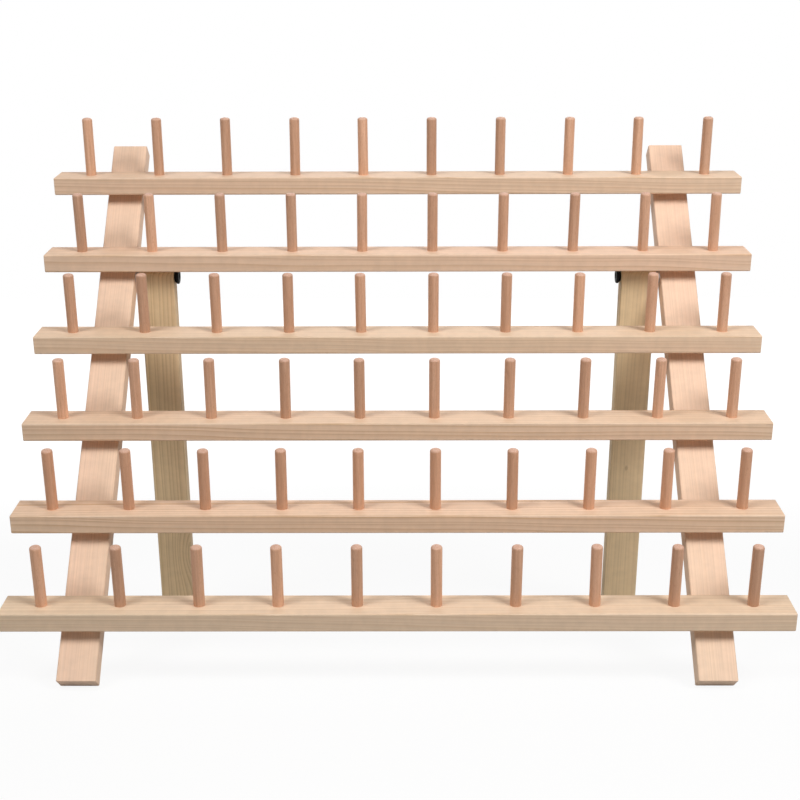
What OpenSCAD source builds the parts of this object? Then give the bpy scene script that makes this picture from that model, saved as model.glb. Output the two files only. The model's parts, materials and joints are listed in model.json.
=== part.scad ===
// Folding thread spool rack: six pegged shelf bars on two leaning front legs,
// propped by two rear legs that fold in behind the bars. Millimetres, +Z up.
// The rack stands on z = 0, faces -Y and is centred on the origin.

/* [Shelf bars] */
// Distance from the outermost peg to the end of the bar
bar_end_margin = 20; // [12:0.5:32]
// Depth of a bar's top face, from front edge to back edge
bar_depth = 20; // [18:0.5:26]
// Thickness of a bar, along its pegs
bar_thickness = 10; // [9:0.5:13]
// Height of the lowest bar's back edge, measured along the front leg from its foot
first_row = 44.5; // [36:0.5:60]
// Angle between the pegs and the front leg, which sets the slanted seat of each bar
peg_angle = 45; // [38:1:50]

/* [Spool pegs] */
// Distance between neighbouring pegs on one bar
peg_pitch = 40; // [34:0.5:48]
// Diameter of a peg
peg_d = 5.8; // [5.7:0.1:7]
// Length of a peg above the bar
peg_reach = 33; // [25:0.5:40]
// Radius of the rounded rim at a peg's tip
peg_rim = 1.3; // [0.6:0.1:2]
// Diameter of the tenon under a peg's shoulder
tenon_d = 5.2; // [4.6:0.1:5.4]
// Depth of the blind hole that takes the tenon
tenon_depth = 5.5; // [4:0.5:7]

/* [Front legs] */
// Length of a front leg, along which the bars are spread evenly
leg_length = 323; // [305:1:365]
// Length of a front leg above the highest bar's back edge
leg_top_margin = 18.5; // [12:0.5:30]
// Width of a front leg, across the rack
leg_width = 20; // [18:0.5:26]
// Thickness of a front leg, front to back
leg_thickness = 10; // [9:0.5:13]
// Distance from the end of the bars to the outer face of a front leg
leg_inset = 29.5; // [27:0.5:34]
// Lean of the front legs, back from the vertical
lean_angle = 30; // [24:1:34]

/* [Rear legs] */
// Angle between a front leg and an opened rear leg
open_angle = 45; // [38:1:52]
// Width of a rear leg, across the rack
rear_width = 20; // [16:0.5:24]
// Thickness of a rear leg, front to back
rear_thickness = 10; // [9.5:0.5:12]
// Distance along the leg from the second highest bar's back edge down to the pivot
pivot_drop = 16.5; // [15:0.5:24]

/* [Pivot hardware] */
// Diameter of the pivot bolt
bolt_d = 5; // [4:0.1:5.4]
// Length of the pivot bolt under its head
bolt_length = 35; // [32:1:38]
// Diameter of the rim of the bolt's flared head
bolt_head_d = 8.8; // [8:0.1:10.4]
// Height of the bolt's head
bolt_head_h = 2.5; // [2.3:0.1:3]
// Height of the rim of the bolt's head
bolt_rim_h = 1.2; // [1:0.1:1.4]
// Diameter of the bolt's head next to the leg
bolt_neck_d = 6.4; // [6:0.1:7.4]
// Key size of the hexagon sockets, across flats
socket_size = 3; // [2.5:0.1:3.4]
// Depth of the hexagon sockets
socket_depth = 1.3; // [1:0.1:1.6]
// Diameter of the spacer between a front leg and a rear leg
spacer_d = 9; // [7.5:0.1:10]
// Thickness of that spacer
spacer_t = 2; // [1:0.1:3]
// Diameter of the sleeve nut's sleeve
sleeve_d = 6.6; // [6.4:0.1:7]
// Length of the sleeve nut, from its flange's face to its open end
sleeve_length = 14; // [12:0.5:16]
// Diameter of the sleeve nut's flange
flange_d = 8; // [7.4:0.1:8.4]
// Thickness of the sleeve nut's flange
flange_t = 1; // [0.8:0.1:1.4]

/* [Bar screws] */
// Diameter of the countersunk screws that hold the bars
screw_d = 3; // [2.5:0.1:3.5]
// Diameter of a screw's head
screw_head_d = 6; // [5:0.1:6.4]
// Length of a screw
screw_length = 16; // [14.5:0.5:16.5]
// Length of a screw's point
screw_point = 3; // [2:0.5:4]
// Distance along the leg from a bar's back edge down to its screw
screw_drop = 8.8; // [8:0.1:9.6]

/* [Edges and clearances] */
// Radius of the eased long edges of bars and legs
edge_radius = 0.8; // [0.4:0.1:1.5]
// Bevel on the rim of a bolt's head
head_bevel = 0.4; // [0.2:0.1:0.6]
// Radial running clearance between a pivot bolt and its rear leg
pivot_fit = 0.05; // [0.02:0.01:0.1]
// Radial gap round pieces that are glued, pressed or screwed in
seat_gap = 0.05; // [0.02:0.01:0.1]
// Gap on each side of a rear leg, along its pivot
end_play = 0.1; // [0.05:0.05:0.3]
// Gap between the folded rear legs and the backs of the bars
fold_gap = 0.5; // [0.4:0.1:1.5]

/* [Hidden] */
$fn = 64;

LEFT = -1;
RIGHT = 1;
BAR_COUNT = 6;
PEGS_PER_BAR = 10;
// The pivot lies behind the second highest bar
PIVOT_ROW = BAR_COUNT - 1;
// Cutters run this far past the faces they open
CUT_PAST = 1;

BAR_COLOUR = "#e6c3a0";
LEG_COLOUR = "#f1cda9";
REAR_COLOUR = "#c7a678";
PEG_COLOUR = "#c99f84";
BLACK_COLOUR = "#1c1b1d";
STEEL_COLOUR = "#9b9ea3";

bar_length = (PEGS_PER_BAR - 1) * peg_pitch + 2 * bar_end_margin;
// Distance between neighbouring bars, measured along the front leg
row_spacing = (leg_length - leg_top_margin - first_row) / (BAR_COUNT - 1);

// Positions across the rack, measured from its middle to the right
leg_outer_x = bar_length / 2 - leg_inset;
leg_x = leg_outer_x - leg_width / 2;
leg_inner_x = leg_outer_x - leg_width;
rear_outer_x = leg_inner_x - spacer_t - end_play;
rear_x = rear_outer_x - rear_width / 2;
head_face_x = rear_outer_x - rear_width - end_play - bolt_head_h;

// Positions in the front leg's own frame: y back from its front face, z up from its foot
pivot_y = rear_thickness / 2 + fold_gap;
pivot_z = row_z(PIVOT_ROW) - pivot_drop;

// The leg stands on the lower back edge of its square-cut foot
foot_rise = leg_thickness * sin(lean_angle);
pivot_rise = height_of(pivot_y, pivot_z);
rear_lean = open_angle - lean_angle;
// A rear leg stands on one edge of its square-cut foot, whichever way it leans
rear_reach = (pivot_rise - rear_thickness / 2 * abs(sin(rear_lean))) / cos(rear_lean);

// Depth of the standing rack, which is centred on the origin
peg_lean = peg_angle - lean_angle;
row_1_back = depth_of(0, first_row);
peg_tip_front = row_1_back - bar_depth / 2 * cos(peg_lean) - peg_reach * sin(peg_lean) - peg_d / 2;
bar_front = row_1_back - bar_depth * cos(peg_lean);
rack_front = min(0, bar_front, peg_tip_front);
rear_foot_back = depth_of(pivot_y, pivot_z) + rear_reach * sin(rear_lean) + rear_thickness / 2 * cos(rear_lean);
leg_top_back = depth_of(leg_thickness, leg_length);
rack_back = max(rear_foot_back, leg_top_back);
rack_shift = -(rack_front + rack_back) / 2;

function row_z(row) = first_row + (row - 1) * row_spacing;

function peg_x(index) = (index - (PEGS_PER_BAR + 1) / 2) * peg_pitch;

// Height above the ground of a point in the front leg's frame
function height_of(y, z) = foot_rise - y * sin(lean_angle) + z * cos(lean_angle);

// Distance behind the front leg's foot of a point in the front leg's frame
function depth_of(y, z) = y * cos(lean_angle) + z * sin(lean_angle);

// Frames: a front leg, one shelf bar, a pivot, and an opened rear leg

module on_front_leg() {
    translate([0, rack_shift, foot_rise])
        rotate([-lean_angle, 0, 0])
            children();
}

// y back from the bar's back edge, z up along its pegs from its top face
module on_bar(row) {
    on_front_leg()
        translate([0, 0, row_z(row)])
            rotate([peg_angle, 0, 0])
                children();
}

// z along the pivot, out from the middle of the rack, starting at a distance from it
module on_pivot(side, x) {
    on_front_leg()
        translate([side * x, pivot_y, pivot_z])
            rotate([0, side * 90, 0])
                children();
}

module on_rear_leg(side) {
    on_front_leg()
        translate([side * rear_x, pivot_y, pivot_z])
            rotate([open_angle, 0, 0])
                children();
}

// Shared shapes

module eased_rectangle(width, height, radius) {
    translate([radius, 0])
        square([width - 2 * radius, height]);
    translate([0, radius])
        square([width, height - 2 * radius]);
    for (x = [radius, width - radius], y = [radius, height - radius])
        translate([x, y])
            circle(r = radius);
}

// A planed strip of wood standing on z = 0, centred on the z axis
module strip(width, thickness, length) {
    linear_extrude(length)
        translate([-width / 2, -thickness / 2])
            eased_rectangle(width, thickness, edge_radius);
}

// The right half of an eased rectangle, turned about the z axis into an eased disc
module eased_disc(diameter, height, radius) {
    rotate_extrude()
        intersection() {
            translate([-diameter / 2, 0])
                eased_rectangle(diameter, height, radius);
            square([diameter, height]);
        }
}

module hex_socket() {
    cylinder(d = socket_size / cos(30), h = socket_depth, $fn = 6);
}

// Countersunk screw along z, with its head flush at z = 0, or its hole if grown by a gap
module screw_form(gap) {
    head_height = (screw_head_d - screw_d) / 2;
    rotate_extrude()
        polygon([
            [0, 0],
            [screw_head_d / 2 + gap, 0],
            [screw_d / 2 + gap, head_height],
            [screw_d / 2 + gap, screw_length - screw_point],
            [0, screw_length + gap]
        ]);
}

// One copy per bar, in from the back face of a front leg along z
module at_screws(side) {
    for (row = [1 : BAR_COUNT])
        translate([side * leg_x, leg_thickness, row_z(row) - screw_drop])
            rotate([90, 0, 0])
                children();
}

module screw_holes(side) {
    at_screws(side) {
        screw_form(seat_gap);
    }
    at_screws(side) {
        translate([0, 0, -CUT_PAST])
            cylinder(d = screw_head_d + 2 * seat_gap, h = CUT_PAST);
    }
}

// Wooden pieces

module front_leg(side) {
    color(LEG_COLOUR)
        difference() {
            on_front_leg()
                translate([side * leg_x, leg_thickness / 2, 0])
                    strip(leg_width, leg_thickness, leg_length);
            on_front_leg()
                screw_holes(side);
            on_pivot(side, leg_inner_x - CUT_PAST)
                cylinder(d = bolt_d + 2 * seat_gap, h = leg_width + CUT_PAST);
            on_pivot(side, leg_outer_x - sleeve_length)
                cylinder(d = sleeve_d + 2 * seat_gap, h = sleeve_length + CUT_PAST);
            on_pivot(side, leg_outer_x - flange_t)
                cylinder(d = flange_d + 2 * seat_gap, h = flange_t + CUT_PAST);
        }
}

// Cross-section of a bar with its back ripped at a slant to lie flat on the front legs
module bar_profile() {
    reach = bar_depth + bar_thickness;
    difference() {
        translate([-bar_depth, -bar_thickness])
            eased_rectangle(bar_depth + edge_radius, bar_thickness, edge_radius);
        rotate(-peg_angle)
            translate([0, -reach])
                square([reach, 2 * reach]);
    }
}

module at_pegs(row) {
    on_bar(row)
        for (index = [1 : PEGS_PER_BAR])
            translate([peg_x(index), -bar_depth / 2, 0])
                children();
}

module shelf_bar(row) {
    color(BAR_COLOUR)
        difference() {
            on_bar(row)
                rotate([90, 0, 90])
                    linear_extrude(bar_length, center = true)
                        bar_profile();
            at_pegs(row)
                translate([0, 0, -tenon_depth])
                    cylinder(d = tenon_d + 2 * seat_gap, h = tenon_depth + CUT_PAST);
            for (side = [LEFT, RIGHT])
                on_front_leg()
                    screw_holes(side);
        }
}

// A dowel with a rounded tip and a shouldered tenon that fills its hole
module spool_pegs(row) {
    color(PEG_COLOUR)
        at_pegs(row) {
            translate([0, 0, -tenon_depth])
                cylinder(d = tenon_d, h = tenon_depth);
            rotate_extrude() {
                square([peg_d / 2 - peg_rim, peg_reach]);
                square([peg_d / 2, peg_reach - peg_rim]);
                translate([peg_d / 2 - peg_rim, peg_reach - peg_rim])
                    intersection() {
                        circle(r = peg_rim);
                        square(peg_rim);
                    }
            }
        }
}

module rear_leg(side) {
    color(REAR_COLOUR)
        on_rear_leg(side)
            difference() {
                union() {
                    translate([0, 0, -rear_reach])
                        strip(rear_width, rear_thickness, rear_reach);
                    rotate([0, 90, 0])
                        translate([0, 0, -rear_width / 2])
                            eased_disc(rear_thickness, rear_width, edge_radius);
                }
                rotate([0, 90, 0])
                    cylinder(d = bolt_d + 2 * pivot_fit, h = rear_width + 2 * CUT_PAST, center = true);
            }
}

// Metal pieces

// A bevelled rim that narrows to a neck, with its outer face at z = 0
module flared_head() {
    rim_r = bolt_head_d / 2;
    rotate_extrude()
        polygon([
            [0, 0],
            [rim_r - head_bevel, 0],
            [rim_r, head_bevel],
            [rim_r, bolt_rim_h],
            [bolt_neck_d / 2, bolt_head_h],
            [0, bolt_head_h]
        ]);
}

module pivot_bolt(side) {
    color(BLACK_COLOUR)
        on_pivot(side, head_face_x)
            difference() {
                union() {
                    flared_head();
                    cylinder(d = bolt_d, h = bolt_head_h + bolt_length);
                }
                hex_socket();
            }
}

module pivot_spacer(side) {
    color(STEEL_COLOUR)
        on_pivot(side, leg_inner_x - spacer_t)
            difference() {
                cylinder(d = spacer_d, h = spacer_t);
                translate([0, 0, -CUT_PAST])
                    cylinder(d = bolt_d + 2 * seat_gap, h = spacer_t + 2 * CUT_PAST);
            }
}

// Closed at its flange, which takes a key, and open at its inner end
module pivot_nut(side) {
    bore_length = sleeve_length - flange_t - socket_depth;
    color(STEEL_COLOUR)
        on_pivot(side, leg_outer_x - sleeve_length)
            difference() {
                union() {
                    cylinder(d = sleeve_d, h = sleeve_length);
                    translate([0, 0, sleeve_length - flange_t])
                        cylinder(d = flange_d, h = flange_t);
                }
                translate([0, 0, -CUT_PAST])
                    cylinder(d = bolt_d + 2 * seat_gap, h = bore_length + CUT_PAST);
                translate([0, 0, sleeve_length - socket_depth])
                    hex_socket();
            }
}

module bar_screws(side) {
    color(STEEL_COLOUR)
        on_front_leg()
            at_screws(side)
                screw_form(0);
}

front_leg(LEFT);  // front_leg_left
front_leg(RIGHT);  // front_leg_right
rear_leg(LEFT);  // rear_leg_left
rear_leg(RIGHT);  // rear_leg_right
shelf_bar(1);  // shelf_bar_1
shelf_bar(2);  // shelf_bar_2
shelf_bar(3);  // shelf_bar_3
shelf_bar(4);  // shelf_bar_4
shelf_bar(5);  // shelf_bar_5
shelf_bar(6);  // shelf_bar_6
spool_pegs(1);  // spool_pegs_1
spool_pegs(2);  // spool_pegs_2
spool_pegs(3);  // spool_pegs_3
spool_pegs(4);  // spool_pegs_4
spool_pegs(5);  // spool_pegs_5
spool_pegs(6);  // spool_pegs_6
pivot_bolt(LEFT);  // pivot_bolt_left
pivot_bolt(RIGHT);  // pivot_bolt_right
pivot_spacer(LEFT);  // pivot_spacer_left
pivot_spacer(RIGHT);  // pivot_spacer_right
pivot_nut(LEFT);  // pivot_nut_left
pivot_nut(RIGHT);  // pivot_nut_right
bar_screws(LEFT);  // bar_screws_left
bar_screws(RIGHT);  // bar_screws_right
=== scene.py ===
import json
import math

import bmesh
import bpy
import numpy as np
from mathutils import Matrix, Vector


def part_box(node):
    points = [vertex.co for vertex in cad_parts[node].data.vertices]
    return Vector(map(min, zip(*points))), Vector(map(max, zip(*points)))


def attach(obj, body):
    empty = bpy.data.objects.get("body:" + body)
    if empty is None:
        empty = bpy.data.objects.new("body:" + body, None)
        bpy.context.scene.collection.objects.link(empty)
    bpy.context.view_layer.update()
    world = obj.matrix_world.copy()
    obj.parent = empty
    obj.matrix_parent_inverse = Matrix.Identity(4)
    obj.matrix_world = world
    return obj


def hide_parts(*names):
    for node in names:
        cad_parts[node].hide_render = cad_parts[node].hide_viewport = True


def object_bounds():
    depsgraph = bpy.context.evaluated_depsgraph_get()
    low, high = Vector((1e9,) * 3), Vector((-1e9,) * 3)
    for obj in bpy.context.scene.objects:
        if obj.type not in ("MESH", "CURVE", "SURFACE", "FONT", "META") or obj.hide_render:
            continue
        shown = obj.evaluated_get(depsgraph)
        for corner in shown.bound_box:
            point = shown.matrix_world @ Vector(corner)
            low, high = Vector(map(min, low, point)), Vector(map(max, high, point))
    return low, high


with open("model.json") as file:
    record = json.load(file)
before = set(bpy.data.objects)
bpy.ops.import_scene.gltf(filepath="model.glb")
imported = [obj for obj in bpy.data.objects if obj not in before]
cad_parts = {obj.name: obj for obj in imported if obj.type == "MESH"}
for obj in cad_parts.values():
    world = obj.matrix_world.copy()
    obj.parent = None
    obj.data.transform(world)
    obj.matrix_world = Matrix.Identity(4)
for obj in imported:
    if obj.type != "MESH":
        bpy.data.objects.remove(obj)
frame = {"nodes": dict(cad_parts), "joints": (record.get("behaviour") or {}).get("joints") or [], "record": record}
CAD_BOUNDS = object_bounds()

bl_info = {
    "name": "Thread spool rack",
    "version": (1, 0, 0),
    "blender": (4, 5, 0),
    "location": "View3D > Sidebar > Thread rack",
    "description": "Dresses the folding thread spool rack in planed pine, beech dowels and steel",
    "category": "Add Mesh",
}

MM = 0.001
RACK_BODY = "rack"
SIDES = ("left", "right")
ROWS = tuple(range(1, 7))
PEGS_PER_BAR = 10
SEED = 23

# Least radius and clearance, reach of a cutter past the wood, and what counts as no length, in metres
HAIR = 0.00005
CUT_PAST = 0.0005
NOTHING = 1e-6

# Sides of turned pieces, and the angle past which an edge stays sharp
BORE_SIDES = 48
PEG_SIDES = 32
SCREW_SIDES = 64
SHARP_ANGLE = math.radians(40)
SCREW_SHARP_ANGLE = math.radians(50)

# Rings over a peg's rim and crown, and over a screw's head, with the share left open at the middle
PEG_RIM_RINGS = 7
PEG_CROWN_RINGS = 5
PEG_POLE = 0.06
SCREW_CAP_RINGS = 22
SCREW_POLE = 0.04

# Screw head in metres: visible shank, rim, and the cross recess with its slopes
SCREW_DEPTH = 0.008
SCREW_RIM = 0.0001
SCREW_FLAT = 0.97
CROSS_DEPTH = 0.0011
CROSS_HALF_WIDTH = 0.00045
CROSS_WALL = 0.00012
CROSS_REACH = 0.0017
CROSS_RUN_OUT = 0.0006

# Growth of each kind of strip, in millimetres: ring width, place and tilt of the pith, and eyes
BAR_GROWTH = {"ring": 1.35, "pith": (34.0, -27.0), "taper": 0.012}
FRONT_GROWTH = {"ring": 1.6, "pith": (21.0, -40.0), "taper": 0.01}
REAR_GROWTH = {
    "left": {
        "ring": 2.1, "pith": (26.0, -24.0), "taper": 0.012,
        "eyes": (((-177.0, 10.5, 0.0), 8.5, -6.0, 0.0),),
    },
    "right": {
        "ring": 1.4, "pith": (22.0, -34.0), "taper": 0.012,
        "eyes": (((-118.5, -0.6, 0.0), 1.3, 0.5, 0.35),),
    },
}

# Part of the log that a strip or dowel may come from, lowest and highest, in millimetres
BAR_LOG = ((0, -9, -6), (2000, 9, 6))
LEG_LOG = ((0, -5, -6), (2000, 5, 6))
DOWEL_LOG = 3000

# Strength of each strip's growth lines, and its tone from pink to yellow; bars from the lowest up
BAR_LINES = (0.55, 1.0, 0.95, 0.65, 0.75, 0.8)
BAR_TONES = (0.95, 0.4, 0.45, 0.55, 0.15, 0.35)
FRONT_LINES = 0.25
FRONT_TONE = 0.3
REAR_LINES = {"left": 0.8, "right": 0.35}
REAR_TONE = 0.5

# Share of dark wood in each row of pegs, from the lowest row up
PEG_TONES = (0.12, 0.42, 0.02, 0.14, 0.0, 0.04)

# Order of a piece's local axes (across, back, up) as grain axes (along, across, depth)
GRAIN_ALONG_BAR = (0, 1, 2)
GRAIN_ALONG_LEG = (2, 0, 1)

# Noises of the woods: waves to the millimetre along, across and through the grain, detail, roughness
PINE_FIBRE = ((0.03, 2.4, 2.4), 3.0, 0.6)
PINE_STREAK = ((0.006, 0.55, 0.55), 2.0, 0.5)
PINE_CHANGE = ((0.0016, 0.02, 0.02), 1.0, 0.5)
PINE_FIGURE = ((0.2, 0.13, 0.13), 2.0, 0.6)
BEECH_FIBRE = ((0.12, 3.5, 3.5), 3.0, 0.6)
BEECH_STREAK = ((0.025, 0.7, 0.7), 2.0, 0.5)
BEECH_RAY = ((0.6, 5.0, 5.0), 1.0, 0.5)
BEECH_CHANGE = ((0.004, 0.01, 0.01), 0.0, 0.5)
BEECH_PORE = ((1.5, 4.0, 4.0), 3.0, 0.7)
NOISE_MIDDLE = 0.5

# How a noise shades a wood, or its share of a second colour, as (noise, level) stops
PINE_FIBRE_SHADE = ((0.25, 0.92), (0.75, 1.04))
PINE_STREAK_SHADE = ((0.3, 0.95), (0.7, 1.02))
PINE_FIGURE_SHADE = ((0.32, 0.96), (0.68, 1.025))
BEECH_FIBRE_SHADE = ((0.25, 0.86), (0.75, 1.05))
BEECH_CHANGE_SHADE = ((0.35, 0.8), (0.65, 1.08))
BEECH_STREAK_SHARE = ((0.3, 0.55), (0.7, 0.0))
BEECH_RAY_SHARE = ((0.6, 0.0), (0.72, 0.7))
BEECH_PORE_SHARE = ((0.4, 0.0), (0.6, 1.0))

# Surface of the woods: least and most roughness, strength and depth of the bump in metres, and shine
PINE_ROUGH = (0.52, 0.72)
PINE_BUMP = (0.5, 0.00006)
PINE_SHINE = 0.3
PINE_LINE_RELIEF = 0.5
BEECH_ROUGH = (0.42, 0.62)
BEECH_BUMP = (0.4, 0.00004)
BEECH_SHINE = 0.35

# Growth rings: waves and reach of their drift in millimetres, unevenness of the years, latewood in one year
RING_DRIFT = (0.0045, 0.018, 0.018)
RING_REACH = 5.0
YEAR_WAVES = 0.45
YEAR_DETAIL = 1.0
YEAR_UNEVEN = 1.6
SEASON = ((0.0, 0.0), (0.35, 0.08), (0.72, 0.55), (0.9, 1.0), (1.0, 0.0))

# An eye in the grain: its width over its length, and the levels at which its dark heart starts and is full
EYE_SHAPE = 0.5
EYE_HEART = (0.45, 0.9)

# Tints at both ends of a pine strip's tone, and how far the tone changes along it over a span of its noise
PINK_TINT = (1.01, 0.955, 0.94, 1)
YELLOW_TINT = (0.965, 1.0, 0.96, 1)
TONE_CHANGE = (-0.25, 0.25)
TONE_SPAN = (0.35, 0.65)

# Mottle of the metals: detail and roughness, its share of the plain colour, and the level of the dull one
METAL_MOTTLE = (4.0, 0.6)
METAL_SHARE = ((0.3, 0.0), (0.7, 1.0))
METAL_DULL = 0.75

# Stage: half width of the floor, its roughness, its glow and where that fades in
FLOOR_HALF = 12.0
FLOOR_ROUGH = 0.9
FLOOR_GLOW = 1.1
FLOOR_FADE = (0.35, 1.1)

# Each light with its place and width
LAMPS = (
    ("left", (-0.80, -0.92, 1.38), 0.6),
    ("right", (0.68, -0.74, 0.87), 0.45),
    ("back", (0.0, 1.3, 0.85), 0.9),
)

MOUNTS = {mount["name"]: mount for mount in frame["record"]["mounts"]}
JOINTS = {joint["name"]: joint for joint in frame["joints"]}


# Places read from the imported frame

def peg_axis():
    """Direction in which the pegs stand, as a unit vector."""
    return np.array(MOUNTS["spool_peg_1"]["axis"], float)


def peg_tilt():
    """Turn about X from the vertical to the pegs, in radians; the pegs lean to the front."""
    axis = peg_axis()
    return math.atan2(-axis[1], axis[2])


def peg_radius():
    """Radius of a peg."""
    return MOUNTS["spool_peg_1"]["dims"]["r_mm"] * MM


def row_base(row):
    """Middle of a bar's top face, half way along the bar and half way across it."""
    mount = MOUNTS[f"spool_peg_{row}"]
    base = np.array(mount["pos_m"], float) - peg_axis() * mount["dims"]["length_mm"] * MM / 2
    return base * (0, 1, 1)


def leg_tilt():
    """Turn about X from the vertical to the front legs, in radians, which lean back."""
    step = row_base(ROWS[-1]) - row_base(ROWS[0])
    return -math.atan2(step[1], step[2])


def pivot_place(side):
    """Point on the axis of one rear leg, on the rack's middle plane."""
    return np.array(JOINTS[f"rear_leg_{side}_fold"]["pos_m"], float) * (0, 1, 1)


def span_x(node):
    """Lowest and highest X of a CAD node."""
    low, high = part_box(node)
    return low.x, high.x


# Properties that a user would change

def length_property(name, description, default):
    """A length in metres."""
    return bpy.props.FloatProperty(name=name, description=description, default=default, unit="LENGTH")


def angle_property(name, description, degrees):
    """An angle, given in degrees and kept in radians."""
    return bpy.props.FloatProperty(
        name=name, description=description, default=math.radians(degrees), subtype="ANGLE")


def power_property(name, description, default):
    """The power of a light in watts."""
    return bpy.props.FloatProperty(name=name, description=description, default=default, unit="POWER")


def colour_property(name, description, default):
    """A colour in linear RGB."""
    return bpy.props.FloatVectorProperty(
        name=name, description=description, default=default, size=3, subtype="COLOR", min=0.0, max=1.0)


class RackSizes(bpy.types.PropertyGroup):
    """Sizes of the wooden strips, pegs, screws and bores."""

    bar_depth: length_property("Bar depth", "Top face of a bar, front to back", 0.020)
    bar_thickness: length_property("Bar thickness", "Bar height along its pegs", 0.010)
    leg_thickness: length_property("Leg thickness", "Front and rear legs, front to back", 0.010)
    rear_tilt: angle_property("Rear leg tilt", "Rear legs from the vertical, feet to the back", 15)
    long_ease: length_property("Eased long edge", "Radius of the planed long edges", 0.0008)
    end_ease: length_property("Eased end edge", "Radius of the sawn end edges", 0.0005)
    seat_ease: length_property("Eased seat edge", "Radius of the slanted seat's edges", 0.0002)
    peg_rim: length_property("Peg rim", "Radius of the rounded peg tip", 0.0013)
    peg_crown: length_property("Peg crown", "Rise of the peg tip's middle", 0.00025)
    peg_root: length_property("Peg root", "Length of peg hidden in the bar", 0.002)
    peg_wander: angle_property("Peg wander", "Largest lean of a peg off its row", 0.5)
    screw_head: length_property("Screw head", "Diameter of a countersunk head", 0.006)
    screw_shank: length_property("Screw shank", "Diameter of a screw", 0.003)
    screw_sink: length_property("Screw sink", "Depth of a head under the wood", 0.00025)
    bolt_bore: length_property("Bolt bore", "Diameter of the hole for a pivot bolt", 0.0051)
    sleeve_bore: length_property("Sleeve bore", "Diameter of the hole for a sleeve nut", 0.0067)
    sleeve_depth: length_property("Sleeve depth", "Depth of the hole for a sleeve nut", 0.014)
    flange_depth: length_property("Flange depth", "Depth of the recess for a sleeve nut's flange", 0.001)


class RackFinish(bpy.types.PropertyGroup):
    """Colours of the wood, metal and floor."""

    pine_early: colour_property("Pine earlywood", "Pale wood of the bars", (0.89, 0.66, 0.493))
    pine_late: colour_property("Pine latewood", "Growth lines of bars and front legs", (0.715, 0.47, 0.29))
    leg_early: colour_property("Front leg earlywood", "Pale wood of the front legs", (0.93, 0.68, 0.51))
    rear_early: colour_property("Rear leg earlywood", "Pale wood of the rear legs", (0.91, 0.69, 0.44))
    rear_late: colour_property("Rear leg latewood", "Growth lines of the rear legs", (0.67, 0.47, 0.255))
    knot: colour_property("Knot", "Heart of a knot", (0.22, 0.09, 0.035))
    beech: colour_property("Beech", "Plain wood of the pegs", (0.875, 0.525, 0.345))
    beech_fleck: colour_property("Beech fleck", "Rays and streaks of the pegs", (0.585, 0.285, 0.16))
    # Pale colour of the peg tips: end grain, and also a painted highlight on the rounded rims and crowns
    beech_end_highlight: colour_property("Beech end grain", "Sawn and rounded peg tips", (0.84, 0.60, 0.50))
    black: colour_property("Black steel", "Blackened pivot bolts", (0.006, 0.0055, 0.006))
    zinc: colour_property("Zinc plate", "Screws, spacers and sleeve nuts", (0.60, 0.61, 0.63))
    floor: colour_property("Floor", "Pale studio floor", (0.45, 0.45, 0.45))


class RackStudio(bpy.types.PropertyGroup):
    """Camera and lights."""

    camera_place: bpy.props.FloatVectorProperty(
        name="Camera place", description="Where the camera stands", size=3, subtype="TRANSLATION",
        default=(0.0043, -0.7398, 0.2056))
    camera_pitch: angle_property("Camera pitch", "Tilt of the view below the horizon", 5.25)
    camera_yaw: angle_property("Camera yaw", "Turn of the view to the left", 0.22)
    camera_roll: angle_property("Camera roll", "Turn of the view about its own axis", -0.1)
    camera_lens: bpy.props.FloatProperty(
        name="Camera lens", description="Focal length on a 36 mm sensor, in millimetres", default=59.9)
    left_power: power_property("Left light", "Soft light in front on the left", 12.4)
    right_power: power_property("Right light", "Soft light in front on the right", 10.2)
    back_power: power_property("Back light", "Large soft light behind and above", 6.0)
    sky_level: bpy.props.FloatProperty(
        name="Room light", description="Even light from all round", default=0.03)
    floor_white: bpy.props.FloatProperty(
        name="Floor whiteness", description="Share of plain white in the floor as the camera sees it",
        default=0.83, subtype="FACTOR", min=0.0, max=1.0)


# Surfaces worked out as whole arrays

def rounded_outlines(corners, radii, insets, steps):
    """Outlines of a convex polygon, anticlockwise, each moved inwards, with an arc for each corner.

    A corner moves along its bisector by the inset over the cosine of half its turn. Its arc's radius
    shrinks by the inset, down to a hair, and the arc's centre lies that radius over the same cosine
    further along. The arc turns from one side's outward normal to the next side's.
    """
    corners = np.asarray(corners, float)
    towards = corners - np.roll(corners, 1, axis=0)
    away = np.roll(corners, -1, axis=0) - corners
    towards /= np.linalg.norm(towards, axis=1, keepdims=True)
    away /= np.linalg.norm(away, axis=1, keepdims=True)
    turn = np.arctan2(towards[:, 0] * away[:, 1] - towards[:, 1] * away[:, 0], (towards * away).sum(axis=1))
    bisector = away - towards
    bisector /= np.linalg.norm(bisector, axis=1, keepdims=True)
    radius = np.maximum(np.asarray(radii) - insets[:, None], HAIR)
    centres = corners + bisector * ((insets[:, None] + radius) / np.cos(turn / 2))[..., None]
    start = np.arctan2(-towards[:, 0], towards[:, 1])
    angles = start[:, None] + turn[:, None] * np.linspace(0, 1, steps + 1)
    normals = np.stack([np.cos(angles), np.sin(angles)], axis=-1)
    points = centres[:, :, None] + radius[..., None, None] * normals
    return points.reshape(len(insets), -1, 2)


def ring_faces(rings, count):
    """Quads between neighbouring closed rings of a grid, with a flat cap on the first and last ring."""
    here = np.arange(count)
    after = np.roll(here, -1)
    low = np.arange(rings - 1)[:, None] * count
    quads = np.stack([low + here, low + after, low + count + after, low + count + here], axis=-1)
    caps = [here[::-1].tolist(), ((rings - 1) * count + here).tolist()]
    return quads.reshape(-1, 4).tolist() + caps


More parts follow.
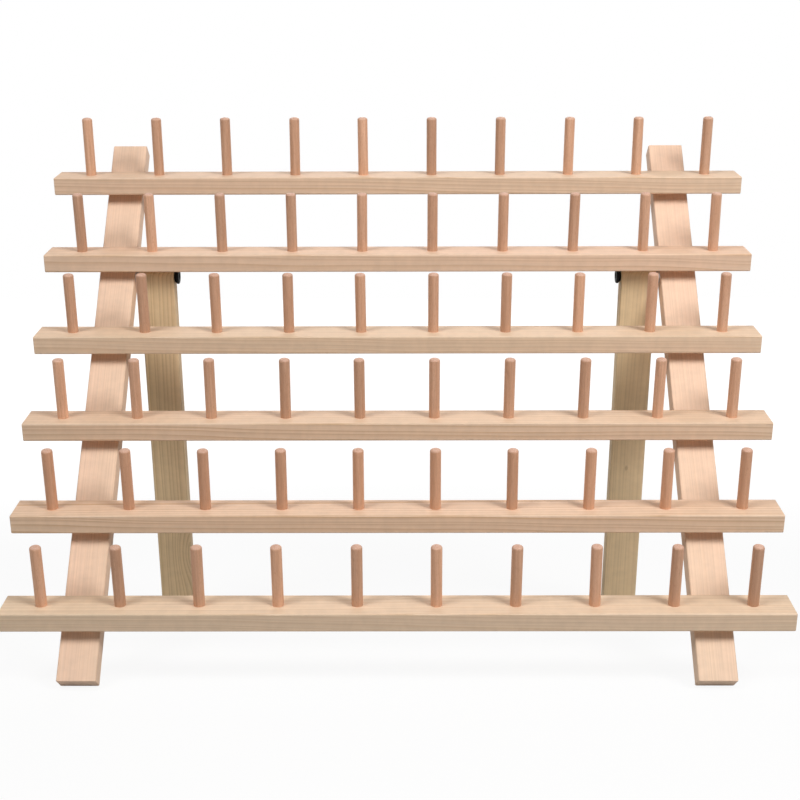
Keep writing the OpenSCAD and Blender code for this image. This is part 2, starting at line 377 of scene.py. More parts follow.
def eased_prism(corners, radii, low_x, high_x, ease, arc_steps=6, ease_steps=4):
    """Rounded polygon (back, up) carried along X from low_x to high_x, with its end edges eased.

    Near each end the outline moves in by ease times (1 - cosine) of an angle that runs to a right
    angle, while X gains ease times the sine, so the edge is a quarter round.
    """
    angle = np.linspace(0, math.pi / 2, ease_steps + 1)
    inset = ease * (1 - np.cos(angle))
    reach = ease * np.sin(angle)
    x = np.concatenate([low_x + ease - reach[::-1], high_x - ease + reach])
    rings = rounded_outlines(corners, radii, np.concatenate([inset[::-1], inset]), arc_steps)
    across = np.broadcast_to(x[:, None, None], (*rings.shape[:2], 1))
    vertices = np.concatenate([across, rings], axis=-1).reshape(-1, 3)
    return vertices, ring_faces(*rings.shape[:2])


def turned_solid(profile, sides):
    """Profile of (radius, height) points turned about Z, closed by a flat cap at both ends."""
    profile = np.asarray(profile, float)
    angle = np.arange(sides) * 2 * math.pi / sides
    round_ = np.stack([np.cos(angle), np.sin(angle)], axis=-1)
    flat = profile[:, None, :1] * round_[None]
    height = np.broadcast_to(profile[:, None, 1:], (len(profile), sides, 1))
    return np.concatenate([flat, height], axis=-1).reshape(-1, 3), ring_faces(len(profile), sides)


def turn_about_x(tilt):
    """Matrix that turns points by tilt about X."""
    c, s = math.cos(tilt), math.sin(tilt)
    return np.array([[1, 0, 0], [0, c, -s], [0, s, c]])


def placed(points, origin, tilt):
    """Local points (across, back, up) turned by tilt about X and moved to origin."""
    return points @ turn_about_x(tilt).T + np.asarray(origin)


def joined(solids):
    """Several (vertices, faces) as one."""
    starts = np.cumsum([0] + [len(vertices) for vertices, _ in solids[:-1]])
    vertices = np.concatenate([vertices for vertices, _ in solids])
    faces = [[int(start) + i for i in face] for start, (_, some) in zip(starts, solids) for face in some]
    return vertices, faces


# Pieces from surfaces

def make_piece(name, vertices, faces):
    """A mesh object at the origin, with its place in its vertices."""
    mesh = bpy.data.meshes.new(name)
    mesh.from_pydata(vertices.tolist(), [], faces)
    mesh.update()
    piece = bpy.data.objects.new(name, mesh)
    bpy.context.scene.collection.objects.link(piece)
    return piece


def vertex_places(mesh):
    """A mesh's vertices as an array."""
    flat = np.empty(len(mesh.vertices) * 3)
    mesh.vertices.foreach_get("co", flat)
    return flat.reshape(-1, 3)


def store_grain(mesh, grain):
    """Keeps each vertex's place in its own log, in millimetres along, across and through the grain."""
    attribute = mesh.attributes.new("grain", "FLOAT_VECTOR", "POINT")
    attribute.data.foreach_set("vector", np.asarray(grain, np.float32).ravel())


def store_value(mesh, name, values):
    """Keeps a number for each vertex under a name; one number stands for all."""
    attribute = mesh.attributes.new(name, "FLOAT", "POINT")
    attribute.data.foreach_set("value", np.zeros(len(mesh.vertices), np.float32) + np.float32(values))


def grain_of(mesh, origin, tilt, axes, offset):
    """Grain places of a straight strip: its local axes in grain order, moved to its own part of the log."""
    local = (vertex_places(mesh) - np.asarray(origin)) @ turn_about_x(tilt)
    return local[:, axes] / MM + np.asarray(offset)


def smooth_edges(piece, angle=SHARP_ANGLE):
    """Smooth shading that keeps sharp edges and flat faces."""
    piece.data.shade_smooth()
    piece.data.set_sharp_from_angle(angle=angle)
    weights = piece.modifiers.new("flat faces", "WEIGHTED_NORMAL")
    weights.keep_sharp = True


def carve(piece, cutter):
    """Cuts one piece's shape out of another, clears edges of no length and drops the cutter."""
    cut = piece.modifiers.new("recess", "BOOLEAN")
    cut.operation = "DIFFERENCE"
    cut.solver = "MANIFOLD"
    cut.object = cutter
    whole = piece.data
    depsgraph = bpy.context.evaluated_depsgraph_get()
    piece.data = bpy.data.meshes.new_from_object(piece.evaluated_get(depsgraph))
    piece.modifiers.clear()
    piece.data.materials.clear()
    shape = bmesh.new()
    shape.from_mesh(piece.data)
    bmesh.ops.dissolve_degenerate(shape, dist=NOTHING, edges=shape.edges)
    shape.to_mesh(piece.data)
    shape.free()
    bpy.data.meshes.remove(whole)
    bpy.data.meshes.remove(cutter.data)


def dress(piece, material, body, slot, *nodes):
    """Gives a piece its finish, and puts it on its body in place of CAD nodes."""
    piece.data.materials.append(material)
    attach(piece, body)
    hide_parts(*nodes)


# Materials

def new_tree(name):
    """An empty material with a Principled shader; returns the material, its tree and the shader."""
    material = bpy.data.materials.new(name)
    material.use_nodes = True
    tree = material.node_tree
    return material, tree, tree.nodes["Principled BSDF"]


def add(tree, kind, *links, **settings):
    """A node with its settings; links are (input, value or output socket)."""
    node = tree.nodes.new(kind)
    for key, value in settings.items():
        setattr(node, key, value)
    for key, value in links:
        if isinstance(value, bpy.types.NodeSocket):
            tree.links.new(value, node.inputs[key])
        else:
            node.inputs[key].default_value = value
    return node


def math_node(tree, operation, first, second=0.0, clamp=False):
    """Output of a Math node."""
    node = add(tree, "ShaderNodeMath", (0, first), (1, second), operation=operation, use_clamp=clamp)
    return node.outputs[0]


def vector_node(tree, operation, first, second=(0, 0, 0)):
    """Output of a Vector Math node."""
    return add(tree, "ShaderNodeVectorMath", (0, first), (1, second), operation=operation).outputs[0]


def noise(tree, place, detail=2.0, roughness=0.5):
    """Noise of unit scale; returns its value and its colour."""
    node = add(tree, "ShaderNodeTexNoise", ("Vector", place), ("Scale", 1.0), ("Detail", detail),
               ("Roughness", roughness))
    return node.outputs["Fac"], node.outputs["Color"]


def ramp(tree, factor, stops):
    """Grey curve through (place, level) stops."""
    node = add(tree, "ShaderNodeValToRGB", ("Fac", factor))
    elements = node.color_ramp.elements
    while len(elements) < len(stops):
        elements.new(0.5)
    for element, (place, level) in zip(elements, stops):
        element.position = place
        element.color = (level, level, level, 1)
    return node.outputs["Color"]


def mix_colour(tree, factor, first, second, blend="MIX"):
    """Two colours mixed; sockets 0, 6, 7 and 2 are the factor, both colours and the result."""
    sockets = ((0, factor), (6, first), (7, second))
    return add(tree, "ShaderNodeMix", *sockets, data_type="RGBA", blend_type=blend).outputs[2]


def tinted(tree, shade, tint):
    """A colour times a tint."""
    return mix_colour(tree, 1.0, shade, tint, "MULTIPLY")


def map_range(tree, value, target, source=(0.0, 1.0), curve="LINEAR"):
    """Output of a Map Range node, which carries a value from a source range to a target range."""
    node = add(tree, "ShaderNodeMapRange", ("Value", value), ("From Min", source[0]),
               ("From Max", source[1]), ("To Min", target[0]), ("To Max", target[1]),
               interpolation_type=curve)
    return node.outputs[0]


def stored(tree, name, output="Fac"):
    """Output of an Attribute node, for what a piece keeps under a name."""
    return add(tree, "ShaderNodeAttribute", attribute_name=name).outputs[output]


def grain_noise(tree, grain, waves, detail, roughness):
    """Value of a noise with its own waves along, across and through the grain."""
    return noise(tree, vector_node(tree, "MULTIPLY", grain, waves), detail, roughness)[0]


def wood_surface(tree, shader, shade, fibre, height, rough, bump, shine):
    """Links a wood's colour, its roughness over the fibre, its bump of a height, and its shine."""
    strength, depth = bump
    relief = add(tree, "ShaderNodeBump", ("Strength", strength), ("Distance", depth), ("Height", height))
    tree.links.new(shade, shader.inputs["Base Color"])
    tree.links.new(map_range(tree, fibre, rough), shader.inputs["Roughness"])
    tree.links.new(relief.outputs[0], shader.inputs["Normal"])
    shader.inputs["Specular IOR Level"].default_value = shine


def rgba(colour_value):
    """A colour property as a socket's value."""
    return (*colour_value, 1.0)


def eye_level(tree, grain, centre, size):
    """Level of an eye in the grain: e to the minus square of the distance from its middle, in sizes.

    The eye is twice as long as wide and runs right through the strip.
    """
    off = vector_node(tree, "SUBTRACT", grain, centre)
    off = vector_node(tree, "MULTIPLY", off, (EYE_SHAPE / size, 1.0 / size, 0))
    square = add(tree, "ShaderNodeVectorMath", (0, off), (1, off), operation="DOT_PRODUCT").outputs["Value"]
    return math_node(tree, "EXPONENT", math_node(tree, "MULTIPLY", square, -1.0))


def growth_rings(tree, grain, ring, pith, taper, eyes):
    """Latewood level of growth rings round a pith that runs along the grain.

    The distance from the pith, in ring widths, wanders slowly along the strip and bulges at each
    eye; its fraction rises slowly through the earlywood and falls at once after the latewood.
    Taper tilts the pith, so that rings leave a flat-sawn face in arches.
    """
    slow = vector_node(tree, "MULTIPLY", grain, RING_DRIFT)
    drift = vector_node(tree, "SUBTRACT", noise(tree, slow)[1], (NOISE_MIDDLE,) * 3)
    drift = vector_node(tree, "MULTIPLY", drift, (0, RING_REACH, RING_REACH))
    along = add(tree, "ShaderNodeSeparateXYZ", (0, grain)).outputs[0]
    rise = add(tree, "ShaderNodeCombineXYZ", (2, math_node(tree, "MULTIPLY", along, taper))).outputs[0]
    place = vector_node(tree, "ADD", vector_node(tree, "ADD", grain, drift), rise)
    place = vector_node(tree, "SUBTRACT", place, (0, *pith))
    place = vector_node(tree, "MULTIPLY", place, (0, 1, 1))
    distance = add(tree, "ShaderNodeVectorMath", (0, place), operation="LENGTH").outputs["Value"]
    for centre, size, bulge, _ in eyes:
        swell = math_node(tree, "MULTIPLY", eye_level(tree, grain, centre, size), bulge)
        distance = math_node(tree, "ADD", distance, swell)
    years = math_node(tree, "DIVIDE", distance, ring)
    uneven = add(tree, "ShaderNodeTexNoise", ("W", years), ("Scale", YEAR_WAVES), ("Detail", YEAR_DETAIL),
                 noise_dimensions="1D")
    years = math_node(tree, "ADD", years, math_node(tree, "MULTIPLY", uneven.outputs["Fac"], YEAR_UNEVEN))
    return ramp(tree, math_node(tree, "FRACT", years), SEASON)


def pine(name, early, late, knot, ring, pith, taper, eyes=()):
    """Planed, unvarnished pine: growth lines, fine fibres and a slow change of tone along the strip.

    Each eye is (middle, size, bulge of the rings, strength of the dark heart), in millimetres. Each
    strip keeps the strength of its lines, and its tone from 0, pink, to 1, a greyish yellow.
    """
    material, tree, shader = new_tree(name)
    grain = stored(tree, "grain", "Vector")
    lines = growth_rings(tree, grain, ring, pith, taper, eyes)
    fibre = grain_noise(tree, grain, *PINE_FIBRE)
    streak = grain_noise(tree, grain, *PINE_STREAK)
    change = grain_noise(tree, grain, *PINE_CHANGE)
    figure = grain_noise(tree, grain, *PINE_FIGURE)

    strength = math_node(tree, "MULTIPLY", lines, stored(tree, "lines"))
    strength = math_node(tree, "MULTIPLY", strength, math_node(tree, "ADD", streak, NOISE_MIDDLE))
    shade = mix_colour(tree, strength, rgba(early), rgba(late))
    shade = tinted(tree, shade, ramp(tree, fibre, PINE_FIBRE_SHADE))
    shade = tinted(tree, shade, ramp(tree, streak, PINE_STREAK_SHADE))
    shade = tinted(tree, shade, ramp(tree, figure, PINE_FIGURE_SHADE))
    change = map_range(tree, change, TONE_CHANGE, TONE_SPAN)
    tone = math_node(tree, "ADD", stored(tree, "tone"), change, clamp=True)
    shade = tinted(tree, shade, mix_colour(tree, tone, PINK_TINT, YELLOW_TINT))
    start, full = EYE_HEART
    for centre, size, _, heart in eyes:
        dark = ramp(tree, eye_level(tree, grain, centre, size), ((start, 0.0), (full, heart)))
        shade = mix_colour(tree, dark, shade, rgba(knot))

    height = math_node(tree, "ADD", math_node(tree, "MULTIPLY", lines, PINE_LINE_RELIEF), fibre)
    wood_surface(tree, shader, shade, fibre, height, PINE_ROUGH, PINE_BUMP, PINE_SHINE)
    return material


def beech(name, plain, fleck_colour, end_grain_highlight_colour):
    """Sanded beech dowel: soft streaks, short dark rays, a fine fibre, and a pored end grain at the tip, whose
    pale colour is also a painted highlight on the rounded rim and crown.

    Each row of pegs keeps its tone, from 0, the plain wood, to 1, the colour of the rays.
    """
    material, tree, shader = new_tree(name)
    grain = stored(tree, "grain", "Vector")
    fibre = grain_noise(tree, grain, *BEECH_FIBRE)
    streak = grain_noise(tree, grain, *BEECH_STREAK)
    ray = grain_noise(tree, grain, *BEECH_RAY)
    change = grain_noise(tree, grain, *BEECH_CHANGE)
    pore = grain_noise(tree, grain, *BEECH_PORE)

    fleck = rgba(fleck_colour)
    shade = mix_colour(tree, stored(tree, "tone"), rgba(plain), fleck)
    shade = mix_colour(tree, ramp(tree, streak, BEECH_STREAK_SHARE), shade, fleck)
    shade = mix_colour(tree, ramp(tree, ray, BEECH_RAY_SHARE), shade, fleck)
    shade = tinted(tree, shade, ramp(tree, fibre, BEECH_FIBRE_SHADE))
    shade = tinted(tree, shade, ramp(tree, change, BEECH_CHANGE_SHADE))
    # Painted highlight: the pale end colour lightens the rounded tips as if light caught them; the dark pores
    # mixed into it are real end grain
    cut = mix_colour(tree, ramp(tree, pore, BEECH_PORE_SHARE), fleck, rgba(end_grain_highlight_colour))
    shade = mix_colour(tree, stored(tree, "tip"), shade, cut)
    wood_surface(tree, shader, shade, fibre, fibre, BEECH_ROUGH, BEECH_BUMP, BEECH_SHINE)
    return material


def metal(name, plain, metallic, specular, smooth, coarse, scale):
    """Plated or blackened steel: mottled tone and uneven roughness between smooth and coarse."""
    material, tree, shader = new_tree(name)
    place = add(tree, "ShaderNodeTexCoord").outputs["Object"]
    mottle = noise(tree, vector_node(tree, "MULTIPLY", place, (scale, scale, scale)), *METAL_MOTTLE)[0]
    dull = rgba([METAL_DULL * level for level in plain])
    shade = mix_colour(tree, ramp(tree, mottle, METAL_SHARE), dull, rgba(plain))
    tree.links.new(shade, shader.inputs["Base Color"])
    tree.links.new(map_range(tree, mottle, (smooth, coarse)), shader.inputs["Roughness"])
    shader.inputs["Metallic"].default_value = metallic
    shader.inputs["Specular IOR Level"].default_value = specular
    return material


# Operators

class THREADRACK_OT_shelf_bars(bpy.types.Operator):
    """Six planed bars, each with its back edge ripped at a slant to lie on the front legs"""

    bl_idname = "threadrack.shelf_bars"
    bl_label = "Shelf bars"

    def execute(self, context):
        size, finish = context.scene.rack_sizes, context.scene.rack_finish
        material = pine("pine_bars", finish.pine_early, finish.pine_late, finish.knot, **BAR_GROWTH)
        slant = math.tan(peg_tilt() - leg_tilt())
        front, back = -size.bar_depth / 2, size.bar_depth / 2
        corners = (
            (front, -size.bar_thickness),
            (back - size.bar_thickness * slant, -size.bar_thickness),
            (back, 0),
            (front, 0),
        )
        radii = (size.long_ease, size.seat_ease, size.seat_ease, size.long_ease)
        draw = np.random.default_rng(SEED)
        for row, lines, tone in zip(ROWS, BAR_LINES, BAR_TONES):
            name = f"shelf_bar_{row}"
            vertices, faces = eased_prism(corners, radii, *span_x(name), size.end_ease)
            piece = make_piece(f"planed_bar_{row}", placed(vertices, row_base(row), peg_tilt()), faces)
            offset = draw.uniform(*BAR_LOG)
            store_grain(piece.data, grain_of(piece.data, row_base(row), peg_tilt(), GRAIN_ALONG_BAR, offset))
            store_value(piece.data, "lines", lines)
            store_value(piece.data, "tone", tone)
            smooth_edges(piece)
            dress(piece, material, RACK_BODY, "pine_bar", name)
        return {"FINISHED"}


class THREADRACK_OT_front_legs(bpy.types.Operator):
    """Two leaning front legs with countersunk screw holes behind and a stepped hole for the pivot"""

    bl_idname = "threadrack.front_legs"
    bl_label = "Front legs"

    def execute(self, context):
        size, finish = context.scene.rack_sizes, context.scene.rack_finish
        material = pine("pine_front_legs", finish.leg_early, finish.pine_late, finish.knot, **FRONT_GROWTH)
        draw = np.random.default_rng(SEED + 1)
        foot = leg_foot(size)
        length = leg_length(size)
        corners = ((0, 0), (size.leg_thickness, 0), (size.leg_thickness, length), (0, length))
        radii = [size.end_ease] * len(corners)
        for side in SIDES:
            name = f"front_leg_{side}"
            vertices, faces = eased_prism(corners, radii, *span_x(name), size.long_ease)
            piece = make_piece(f"planed_front_leg_{side}", placed(vertices, foot, leg_tilt()), faces)
            carve(piece, make_piece("recess", *leg_recesses(size, side)))
            offset = draw.uniform(*LEG_LOG)
            store_grain(piece.data, grain_of(piece.data, foot, leg_tilt(), GRAIN_ALONG_LEG, offset))
            store_value(piece.data, "lines", FRONT_LINES)
            store_value(piece.data, "tone", FRONT_TONE)
            smooth_edges(piece)
            dress(piece, material, RACK_BODY, "pine_leg", name)
        return {"FINISHED"}


def leg_foot(size):
    """Lower front edge of the front legs, which stand on their lower back edge."""
    low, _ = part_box("front_leg_left")
    return np.array([0, low.y, size.leg_thickness * math.sin(-leg_tilt())])


def leg_length(size):
    """Length of a front leg, from the height of its upper front edge."""
    _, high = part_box("front_leg_left")
    return (high.z - leg_foot(size)[2]) / math.cos(leg_tilt())


def screw_heights(size):
    """Place of each screw up the front leg from its foot, one below each bar, from the CAD screws' box."""
    low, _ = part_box("bar_screws_left")
    first = low.z / math.cos(leg_tilt()) + size.screw_head / 2
    return first + np.linalg.norm(row_base(2) - row_base(1)) * np.arange(len(ROWS))


def on_leg_back(solid, size, side_x, height):
    """A solid along Z, turned so that Z points out of a front leg's back face at a height up the leg."""
    vertices, faces = solid
    across, back, up = vertices[:, 0], vertices[:, 2] + size.leg_thickness, -vertices[:, 1]
    local = np.stack([across + side_x, back, up + height], axis=-1)
    return placed(local, leg_foot(size), leg_tilt()), faces


def along_pivot(solid, side, x):
    """A solid along Z, turned so that Z points outwards along a pivot, from a distance off the middle."""
    vertices, faces = solid
    sign = 1 if side == "right" else -1
    _, back, up = pivot_place(side)
    outward = sign * (x + vertices[:, 2])
    return np.stack([outward, vertices[:, 0] + back, sign * vertices[:, 1] + up], axis=-1), faces


def leg_recesses(size, side):
    """Countersunk holes through a front leg and the stepped hole of its pivot, as one cutter."""
    low, high = span_x(f"front_leg_{side}")
    head, shank = size.screw_head / 2 + 2 * HAIR, size.screw_shank / 2 + HAIR
    deep = -size.leg_thickness - CUT_PAST
    cone = -(head - shank) - size.screw_sink
    countersunk = turned_solid(((shank, deep), (shank, cone), (head, 0), (head, CUT_PAST)), BORE_SIDES)
    cutters = [on_leg_back(countersunk, size, (low + high) / 2, height) for height in screw_heights(size)]
    nut_low, nut_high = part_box(f"pivot_nut_{side}")
    bolt, sleeve = size.bolt_bore / 2, size.sleeve_bore / 2
    flange = (nut_high.z - nut_low.z) / 2 + HAIR
    stepped = turned_solid((
        (bolt, low - high - CUT_PAST),
        (bolt, -size.sleeve_depth),
        (sleeve, -size.sleeve_depth),
        (sleeve, -size.flange_depth),
        (flange, -size.flange_depth),
        (flange, CUT_PAST),
    ), BORE_SIDES)
    cutters.append(along_pivot(stepped, side, max(abs(low), abs(high))))
    return joined(cutters)


class THREADRACK_OT_rear_legs(bpy.types.Operator):
    """Two rear legs with a bored round upper end on the pivot and a square-cut foot"""

    bl_idname = "threadrack.rear_legs"
    bl_label = "Rear legs"

    def execute(self, context):
        size, finish = context.scene.rack_sizes, context.scene.rack_finish
        half = size.leg_thickness / 2
        tilt = size.rear_tilt
        for side in SIDES:
            name = f"rear_leg_{side}"
            colours = finish.rear_early, finish.rear_late, finish.knot
            material = pine(f"pine_rear_leg_{side}", *colours, **REAR_GROWTH[side])
            pivot = pivot_place(side)
            reach = (pivot[2] - half * math.sin(tilt)) / math.cos(tilt)
            corners = ((-half, -reach), (half, -reach), (half, half), (-half, half))
            radii = (size.end_ease, size.end_ease, half, half)
            low, high = span_x(name)
            vertices, faces = eased_prism(corners, radii, low, high, size.long_ease, arc_steps=16)
            piece = make_piece(f"planed_rear_leg_{side}", placed(vertices, pivot, tilt), faces)
            past, radius = (high - low) / 2 + CUT_PAST, size.bolt_bore / 2
            bore = turned_solid(((radius, -past), (radius, past)), BORE_SIDES)
            carve(piece, make_piece("bore", *along_pivot(bore, side, abs(low + high) / 2)))
            middle = pivot + np.array([(low + high) / 2, 0, 0])
            store_grain(piece.data, grain_of(piece.data, middle, tilt, GRAIN_ALONG_LEG, (0, 0, 0)))
            store_value(piece.data, "lines", REAR_LINES[side])
            store_value(piece.data, "tone", REAR_TONE)
            smooth_edges(piece)
            dress(piece, material, name, "pine_rear", name)
        return {"FINISHED"}


class THREADRACK_OT_spool_pegs(bpy.types.Operator):
    """Rows of beech dowel pegs with rounded tips, each a little off true"""

    bl_idname = "threadrack.spool_pegs"
    bl_label = "Spool pegs"

    def execute(self, context):
        size, finish = context.scene.rack_sizes, context.scene.rack_finish
        material = beech("beech_pegs", finish.beech, finish.beech_fleck, finish.beech_end_highlight)
        draw = np.random.default_rng(SEED + 2)
        radius = peg_radius()
        for row, tone in zip(ROWS, PEG_TONES):
            name = f"spool_pegs_{row}"
            length = MOUNTS[f"spool_peg_{row}"]["dims"]["length_mm"] * MM
            low, high = span_x(name)
            places = np.linspace(low + radius, high - radius, PEGS_PER_BAR)
            pegs = [self.peg(size, radius, length, draw) for _ in places]
            solids = [(vertices + (x, 0, 0), faces) for x, (vertices, faces, _) in zip(places, pegs)]
            vertices, faces = joined(solids)
            piece = make_piece(f"dowel_pegs_{row}", placed(vertices, row_base(row), peg_tilt()), faces)
            store_grain(piece.data, np.concatenate([grain for _, _, grain in pegs]))
            # Mask of the rounded tip, which gets the end-grain colour with its painted highlight
            store_value(piece.data, "tip", np.clip((vertices[:, 2] - length) / size.peg_rim, 0, 1))
            store_value(piece.data, "tone", tone)
            smooth_edges(piece)
            dress(piece, material, RACK_BODY, "beech_peg", name)
        return {"FINISHED"}

    @staticmethod
    def peg(size, radius, length, draw):
        """One peg standing on the origin, its faces, and its places in its own dowel.

        The profile runs up from the hidden root, round a quarter circle at the rim and over a
        shallow crown to the middle. The peg then leans by a shear, a little in both directions.
        """
        rim = size.peg_rim
        angle = np.linspace(0, math.pi / 2, PEG_RIM_RINGS)
        top = length + rim
        arc = np.stack([radius - rim + rim * np.cos(angle), top - rim + rim * np.sin(angle)], axis=-1)
        inward = np.linspace(1, PEG_POLE, PEG_CROWN_RINGS)[1:] * (radius - rim)
        crown = np.stack([inward, top + size.peg_crown * (1 - (inward / (radius - rim)) ** 2)], axis=-1)
        profile = np.concatenate([[(radius, -size.peg_root)], arc, crown])
        vertices, faces = turned_solid(profile, PEG_SIDES)
        grain = vertices[:, GRAIN_ALONG_LEG] / MM + draw.uniform(0, DOWEL_LOG, 3)
        lean = draw.uniform(-size.peg_wander, size.peg_wander, 2)
        vertices[:, :2] += np.maximum(vertices[:, 2:], 0) * lean
        return vertices, faces, grain


class THREADRACK_OT_bar_screws(bpy.types.Operator):
    """Countersunk screw heads with a cross recess, sunk in the backs of the front legs"""

    bl_idname = "threadrack.bar_screws"
    bl_label = "Bar screws"

    def execute(self, context):
        size, finish = context.scene.rack_sizes, context.scene.rack_finish
        material = metal(
            "zinc_screws", finish.zinc, metallic=1.0, specular=0.5, smooth=0.25, coarse=0.45, scale=900.0)
        draw = np.random.default_rng(SEED + 3)
        for side in SIDES:
            low, high = span_x(f"front_leg_{side}")
            middle = (low + high) / 2
            heights = screw_heights(size)
            solids = [on_leg_back(self.screw(size, draw), size, middle, height) for height in heights]
            piece = make_piece(f"crosshead_screws_{side}", *joined(solids))
            smooth_edges(piece, SCREW_SHARP_ANGLE)
            dress(piece, material, RACK_BODY, "zinc_steel", f"bar_screws_{side}")
        return {"FINISHED"}

    @staticmethod
    def screw(size, draw):
        """A countersunk head along Z: a shank, a cone, and a top whose height dips in a cross.

        The dip is the product of a smooth step across each arm and a smooth step at its end.
        """
        head, shank = size.screw_head / 2, size.screw_shank / 2
        top = -size.screw_sink
        inward = np.linspace(1, SCREW_POLE, SCREW_CAP_RINGS) * head * SCREW_FLAT
        cap = np.stack([inward, np.full_like(inward, top)], axis=-1)
        side = ((shank, -SCREW_DEPTH), (shank, top - (head - shank)), (head, top - SCREW_RIM))
        vertices, faces = turned_solid(np.concatenate([side, cap]), SCREW_SIDES)
        spin = draw.uniform(0, math.pi)
        x = vertices[:, 0] * math.cos(spin) + vertices[:, 1] * math.sin(spin)
        y = vertices[:, 1] * math.cos(spin) - vertices[:, 0] * math.sin(spin)
        arm = np.maximum(cross_arm(x, y), cross_arm(y, x))
        on_top = vertices[:, 2] > top - SCREW_RIM / 2
        vertices[:, 2] -= np.where(on_top, CROSS_DEPTH * arm, 0)
        return vertices, faces


def cross_arm(along, across):
    """Level of one arm of a cross recess: 1 inside, 0 outside, smooth between."""
    wide = np.clip((CROSS_HALF_WIDTH - np.abs(across)) / CROSS_WALL + 0.5, 0, 1)
    long_ = np.clip((CROSS_REACH - np.abs(along)) / CROSS_RUN_OUT + 0.5, 0, 1)
    return (wide * wide * (3 - 2 * wide)) * (long_ * long_ * (3 - 2 * long_))


class THREADRACK_OT_pivot_hardware(bpy.types.Operator):
    """Finishes of the pivot bolts, spacers and sleeve nuts"""

    bl_idname = "threadrack.pivot_hardware"
    bl_label = "Pivot hardware"

    def execute(self, context):
        finish = context.scene.rack_finish
        black = metal(
            "black_steel", finish.black, metallic=0.0, specular=0.12, smooth=0.5, coarse=0.7, scale=700.0)
        zinc = metal(
            "zinc_plate", finish.zinc, metallic=1.0, specular=0.5, smooth=0.25, coarse=0.42, scale=900.0)
        for kind, material in (("pivot_bolt", black), ("pivot_spacer", zinc), ("pivot_nut", zinc)):
            for side in SIDES:
                for place in frame["nodes"][f"{kind}_{side}"].material_slots:
                    place.material = material
        return {"FINISHED"}


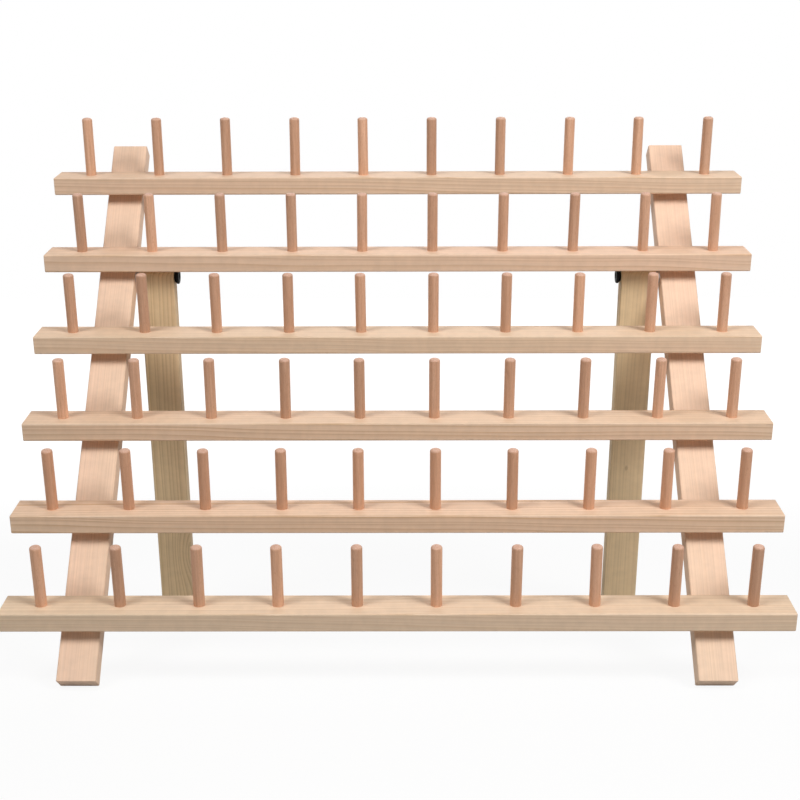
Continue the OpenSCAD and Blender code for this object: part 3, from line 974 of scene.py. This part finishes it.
class THREADRACK_OT_stage(bpy.types.Operator):
    """Pale floor, soft studio lights and the camera"""

    bl_idname = "threadrack.stage"
    bl_label = "Stage"

    def execute(self, context):
        studio, finish = context.scene.rack_studio, context.scene.rack_finish
        self.floor(studio, finish)
        self.sky(context.scene, studio)
        for name, place, width in LAMPS:
            self.lamp(f"{name}_light", place, width, getattr(studio, f"{name}_power"))
        self.camera(context.scene, studio)
        context.scene.view_settings.view_transform = "Standard"
        return {"FINISHED"}

    @staticmethod
    def seen_directly(tree):
        """1 for camera, glossy and transmission rays, else 0."""
        rays = add(tree, "ShaderNodeLightPath").outputs
        first = math_node(tree, "MAXIMUM", rays["Is Camera Ray"], rays["Is Glossy Ray"])
        return math_node(tree, "MAXIMUM", first, rays["Is Transmission Ray"])

    def floor(self, studio, finish):
        """A wide flat floor that the camera sees as white, with the shadow kept near the rack."""
        corners = np.array([(-1, -1, 0), (1, -1, 0), (1, 1, 0), (-1, 1, 0)]) * FLOOR_HALF
        floor = make_piece("studio_floor", corners, [[0, 1, 2, 3]])
        material, tree, shader = new_tree("pale_floor")
        shader.inputs["Base Color"].default_value = rgba(finish.floor)
        shader.inputs["Roughness"].default_value = FLOOR_ROUGH
        glow = add(tree, "ShaderNodeEmission", ("Color", (1, 1, 1, 1)), ("Strength", FLOOR_GLOW))
        place = add(tree, "ShaderNodeTexCoord").outputs["Object"]
        reach = add(tree, "ShaderNodeVectorMath", (0, place), operation="LENGTH").outputs["Value"]
        share = map_range(tree, reach, (studio.floor_white, 1.0), FLOOR_FADE, "SMOOTHSTEP")
        share = math_node(tree, "MULTIPLY", self.seen_directly(tree), share)
        sockets = ((0, share), (1, shader.outputs[0]), (2, glow.outputs[0]))
        mixed = add(tree, "ShaderNodeMixShader", *sockets)
        tree.links.new(mixed.outputs[0], tree.nodes["Material Output"].inputs["Surface"])
        floor.data.materials.append(material)

    def sky(self, scene, studio):
        """Even grey room light, which the camera sees as white."""
        world = bpy.data.worlds.new("studio")
        world.use_nodes = True
        tree = world.node_tree
        background = tree.nodes["Background"]
        level = map_range(tree, self.seen_directly(tree), (studio.sky_level, 1.0))
        background.inputs["Color"].default_value = (1, 1, 1, 1)
        tree.links.new(level, background.inputs["Strength"])
        scene.world = world

    @staticmethod
    def lamp(name, place, width, power):
        """A square soft light that faces the middle of the rack."""
        light = bpy.data.lights.new(name, "AREA")
        light.energy = power
        light.size = width
        lamp = bpy.data.objects.new(name, light)
        bpy.context.scene.collection.objects.link(lamp)
        low, high = CAD_BOUNDS
        lamp.visible_camera = False
        lamp.location = place
        lamp.rotation_euler = ((low + high) / 2 - Vector(place)).to_track_quat("-Z", "Y").to_euler()

    @staticmethod
    def camera(scene, studio):
        """The camera, turned by yaw about Z, pitch about its right, and roll about its own axis."""
        data = bpy.data.cameras.new("camera")
        data.lens = studio.camera_lens
        camera = bpy.data.objects.new("camera", data)
        scene.collection.objects.link(camera)
        turn = Matrix.Rotation(studio.camera_yaw, 4, "Z")
        turn @= Matrix.Rotation(math.pi / 2 - studio.camera_pitch, 4, "X")
        turn @= Matrix.Rotation(studio.camera_roll, 4, "Z")
        camera.matrix_world = Matrix.Translation(studio.camera_place) @ turn
        scene.camera = camera


BUILD_STEPS = (
    THREADRACK_OT_shelf_bars,
    THREADRACK_OT_front_legs,
    THREADRACK_OT_rear_legs,
    THREADRACK_OT_spool_pegs,
    THREADRACK_OT_bar_screws,
    THREADRACK_OT_pivot_hardware,
    THREADRACK_OT_stage,
)


class THREADRACK_PT_sidebar(bpy.types.Panel):
    """Lists the rack's build steps and sizes"""

    bl_label = "Thread rack"
    bl_space_type = "VIEW_3D"
    bl_region_type = "UI"
    bl_category = "Thread rack"

    def draw(self, context):
        for step in BUILD_STEPS:
            self.layout.operator(step.bl_idname)
        for group in (context.scene.rack_sizes, context.scene.rack_finish, context.scene.rack_studio):
            for key in group.__annotations__:
                self.layout.prop(group, key)


GROUPS = {"rack_sizes": RackSizes, "rack_finish": RackFinish, "rack_studio": RackStudio}
CLASSES = (*GROUPS.values(), *BUILD_STEPS, THREADRACK_PT_sidebar)


def register():
    """Registers the classes and the scene's property groups."""
    for cls in CLASSES:
        bpy.utils.register_class(cls)
    for name, group in GROUPS.items():
        setattr(bpy.types.Scene, name, bpy.props.PointerProperty(type=group))


def unregister():
    """Takes the property groups and classes away again."""
    for name in GROUPS:
        delattr(bpy.types.Scene, name)
    for cls in reversed(CLASSES):
        bpy.utils.unregister_class(cls)


def main():
    """Builds the rack and its stage."""
    register()
    bpy.ops.threadrack.shelf_bars()
    bpy.ops.threadrack.front_legs()
    bpy.ops.threadrack.rear_legs()
    bpy.ops.threadrack.spool_pegs()
    bpy.ops.threadrack.bar_screws()
    bpy.ops.threadrack.pivot_hardware()
    bpy.ops.threadrack.stage()


if __name__ == "__main__":
    main()
